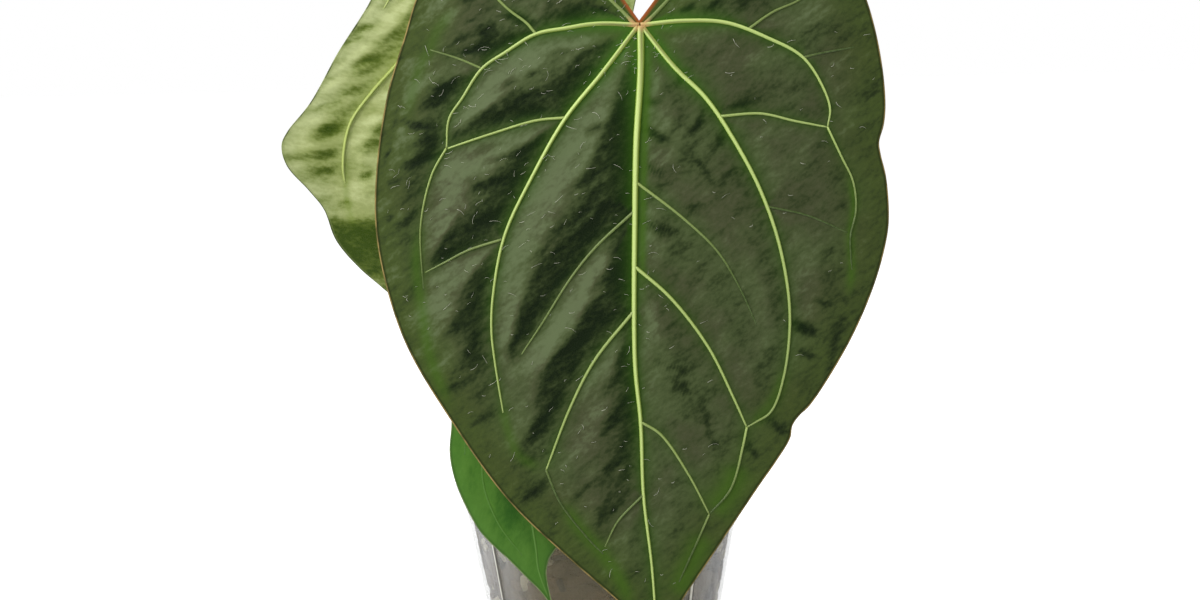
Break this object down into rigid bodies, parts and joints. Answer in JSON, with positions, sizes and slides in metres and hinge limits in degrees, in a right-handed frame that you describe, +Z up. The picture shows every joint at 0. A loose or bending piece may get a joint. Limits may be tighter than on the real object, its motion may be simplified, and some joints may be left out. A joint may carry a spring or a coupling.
{
  "type": "potted anthurium hybrid",
  "caption": "Velvety heart-shaped anthurium leaves with raised pale veins on slender stalks, rooted in chunky medium in a clear tapered nursery pot.",
  "frame": {"origin": "on the ground under the middle of the pot's flat base", "axes": "+Z up, +X to the right as the large front leaf is faced, -Y towards the side that the front leaf faces"},
  "size_m": [0.2308, 0.1826, 0.3692],
  "materials": {
    "clear_plastic": "clear, slightly hazy",
    "medium": "rough bark chips and pumice",
    "stem": "matte",
    "stalk": "satin",
    "blade_velvet": "velvety",
    "vein_lime": "satin",
    "blade_underside": "satin",
    "vein_underside": "satin",
    "blade_young": "satin",
    "vein_young": "satin"
  },
  "bodies": {
    "root": {"pot": "clear_plastic", "growing_medium": "medium", "stem_and_roots": "stem", "stalk_front": "stalk", "stalk_back": "stalk", "stalk_young": "stalk", "leaf_front": "blade_velvet", "veins_front": "vein_lime", "leaf_back": "blade_underside", "veins_back": "vein_underside", "leaf_young": "blade_young", "veins_young": "vein_young"}
  },
  "joints": []
}
